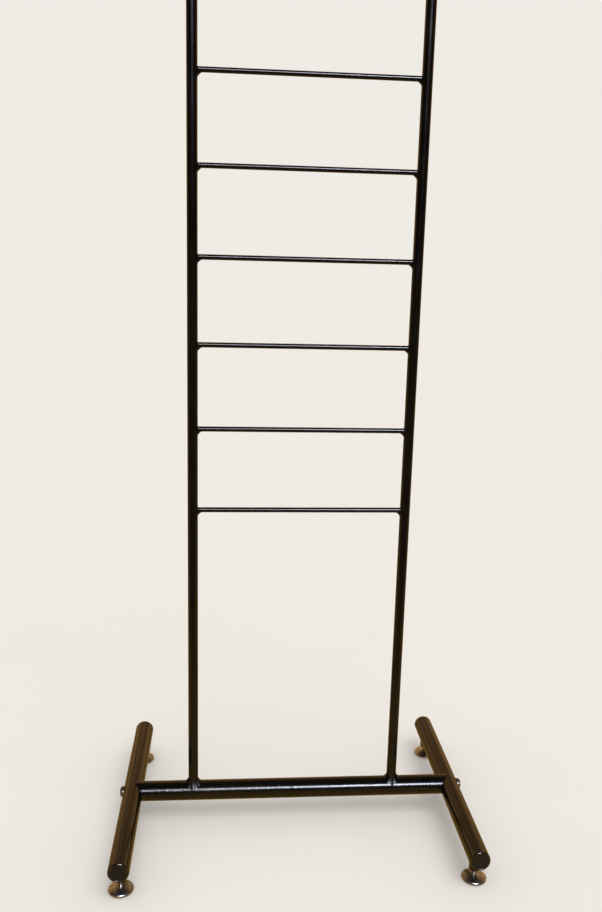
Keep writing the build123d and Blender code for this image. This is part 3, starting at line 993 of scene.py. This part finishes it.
boxes = [
    soft_light("key", (0.65, -8.0, 5.75), (0, 0, 0.2), 4.0, 1.9, 530, "#F1F4FF"),
    soft_light("window", (2.0, -7.8, 5.8), (0, 0, 0.2), 2.2, 2.3, 320, "#DCE7FF")]
for box in boxes:
    box.visible_diffuse = False  # only for highlights on the coat and the plating

sky = bpy.data.lights.new("sky", "SUN")
sky.energy = 1.1
sky.angle = math.radians(50)    # a very soft shadow
sky.color = linear("#FFFDFA")[:3]
sky_light = bpy.data.objects.new("sky", sky)
sky_light.rotation_euler = Euler((math.radians(28), math.radians(12), 0))
sky_light.visible_glossy = False
bpy.context.scene.collection.objects.link(sky_light)

world = bpy.data.worlds.new("room")
world.use_nodes = True
world.node_tree.nodes.clear()
bpy.context.scene.world = world
room = world.node_tree
path = add(room, "ShaderNodeLightPath")
even = add(room, "ShaderNodeBackground", {"Color": linear("#FFFEFC"), "Strength": 0.68})
backdrop = add(room, "ShaderNodeBackground", {"Color": linear("#EFEBE5"), "Strength": 1.0})
direction = add(room, "ShaderNodeTexCoord").outputs["Generated"]
parts = add(room, "ShaderNodeSeparateXYZ", {"Vector": direction})
behind = add(room, "ShaderNodeMapRange", {
    "Value": parts.outputs["Y"], "From Min": -0.1, "From Max": 0.5, "To Min": 0.03, "To Max": 1.0})
lower = add(room, "ShaderNodeMapRange", {
    "Value": parts.outputs["Z"], "From Min": 0.55, "From Max": 0.85, "To Min": 1.0, "To Max": 0.1})
patches = add(room, "ShaderNodeTexNoise", {"Vector": direction, "Scale": 3.5, "Detail": 2.0})
patch_light = add(room, "ShaderNodeMapRange", {
    "Value": patches.outputs["Fac"], "From Min": 0.35, "From Max": 0.65, "To Min": 0.55, "To Max": 1.6})
wall = add(room, "ShaderNodeMath", operation="MULTIPLY")
room.links.new(behind.outputs["Result"], wall.inputs[0])
room.links.new(lower.outputs["Result"], wall.inputs[1])
wall_light = add(room, "ShaderNodeMath", operation="MULTIPLY")
room.links.new(wall.outputs["Value"], wall_light.inputs[0])
room.links.new(patch_light.outputs["Result"], wall_light.inputs[1])
walls = add(room, "ShaderNodeBackground", {
    "Color": linear("#CC9B62"), "Strength": wall_light.outputs["Value"]})
reflected = add(room, "ShaderNodeMixShader", {"Fac": path.outputs["Is Glossy Ray"]})
room.links.new(even.outputs["Background"], reflected.inputs[1])
room.links.new(walls.outputs["Background"], reflected.inputs[2])
both = add(room, "ShaderNodeMixShader", {"Fac": path.outputs["Is Camera Ray"]})
room.links.new(reflected.outputs["Shader"], both.inputs[1])
room.links.new(backdrop.outputs["Background"], both.inputs[2])
add(room, "ShaderNodeOutputWorld", {"Surface": both.outputs["Shader"]})

bpy.context.scene.view_settings.view_transform = "Standard"

CAMERA_AT = (-0.332, -3.899, 2.573)  # in spacings of the uprights, from the middle of the crossbar
CAMERA_TURN = (4.85, 12.34, 1.45)    # yaw to the right, pitch down and roll, in degrees
spacing = 2 * upright_x
camera_data = bpy.data.cameras.new("camera")
camera_data.sensor_width = 36.0
camera_data.lens = 34.11
camera_data.clip_start, camera_data.clip_end = 0.05, 100
camera = bpy.data.objects.new("camera", camera_data)
across, back, above = CAMERA_AT
camera.location = (across * spacing, back * spacing, bar_height + above * spacing)
yaw, pitch, roll = (math.radians(a) for a in CAMERA_TURN)
forward = Vector((math.sin(yaw) * math.cos(pitch), math.cos(yaw) * math.cos(pitch), -math.sin(pitch)))
level_right = Vector((math.cos(yaw), -math.sin(yaw), 0))
level_up = level_right.cross(forward)
right = math.cos(roll) * level_right + math.sin(roll) * level_up
up = -math.sin(roll) * level_right + math.cos(roll) * level_up
camera.rotation_euler = Matrix((right, up, -forward)).transposed().to_euler()
bpy.context.scene.collection.objects.link(camera)
bpy.context.scene.camera = camera

low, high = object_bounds()
